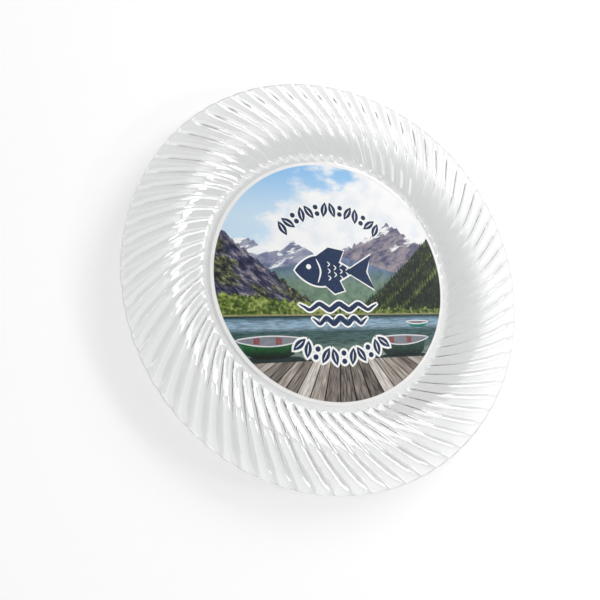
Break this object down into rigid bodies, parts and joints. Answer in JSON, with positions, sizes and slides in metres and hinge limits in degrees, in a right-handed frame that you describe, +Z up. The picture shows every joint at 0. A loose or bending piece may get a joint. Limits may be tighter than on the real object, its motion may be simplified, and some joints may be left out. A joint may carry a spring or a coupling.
{
  "type": "souvenir plate",
  "caption": "Round clear plastic serving plate with a spirally fluted rim and a scalloped lip, a foot ring, and a printed scenic decal on the floor of its well.",
  "frame": {"origin": "on the plate's axis, in the plane that the foot ring stands on", "axes": "+Z up through the open side of the plate, +Y towards the top edge of the printed picture, +X to the picture's right"},
  "size_m": [0.26, 0.26, 0.0176],
  "materials": {
    "clear_polystyrene": "clear moulded polystyrene, glossy",
    "clear_adhesive": "clear pressure-sensitive adhesive",
    "white_film": "white vinyl film",
    "printed_picture": "full-colour printed ink, satin",
    "clear_overlay": "clear gloss overlaminate"
  },
  "bodies": {
    "root": {"plate_body": "clear_polystyrene", "decal_adhesive": "clear_adhesive", "decal_film": "white_film", "decal_print": "printed_picture", "decal_overlay": "clear_overlay"}
  },
  "joints": []
}
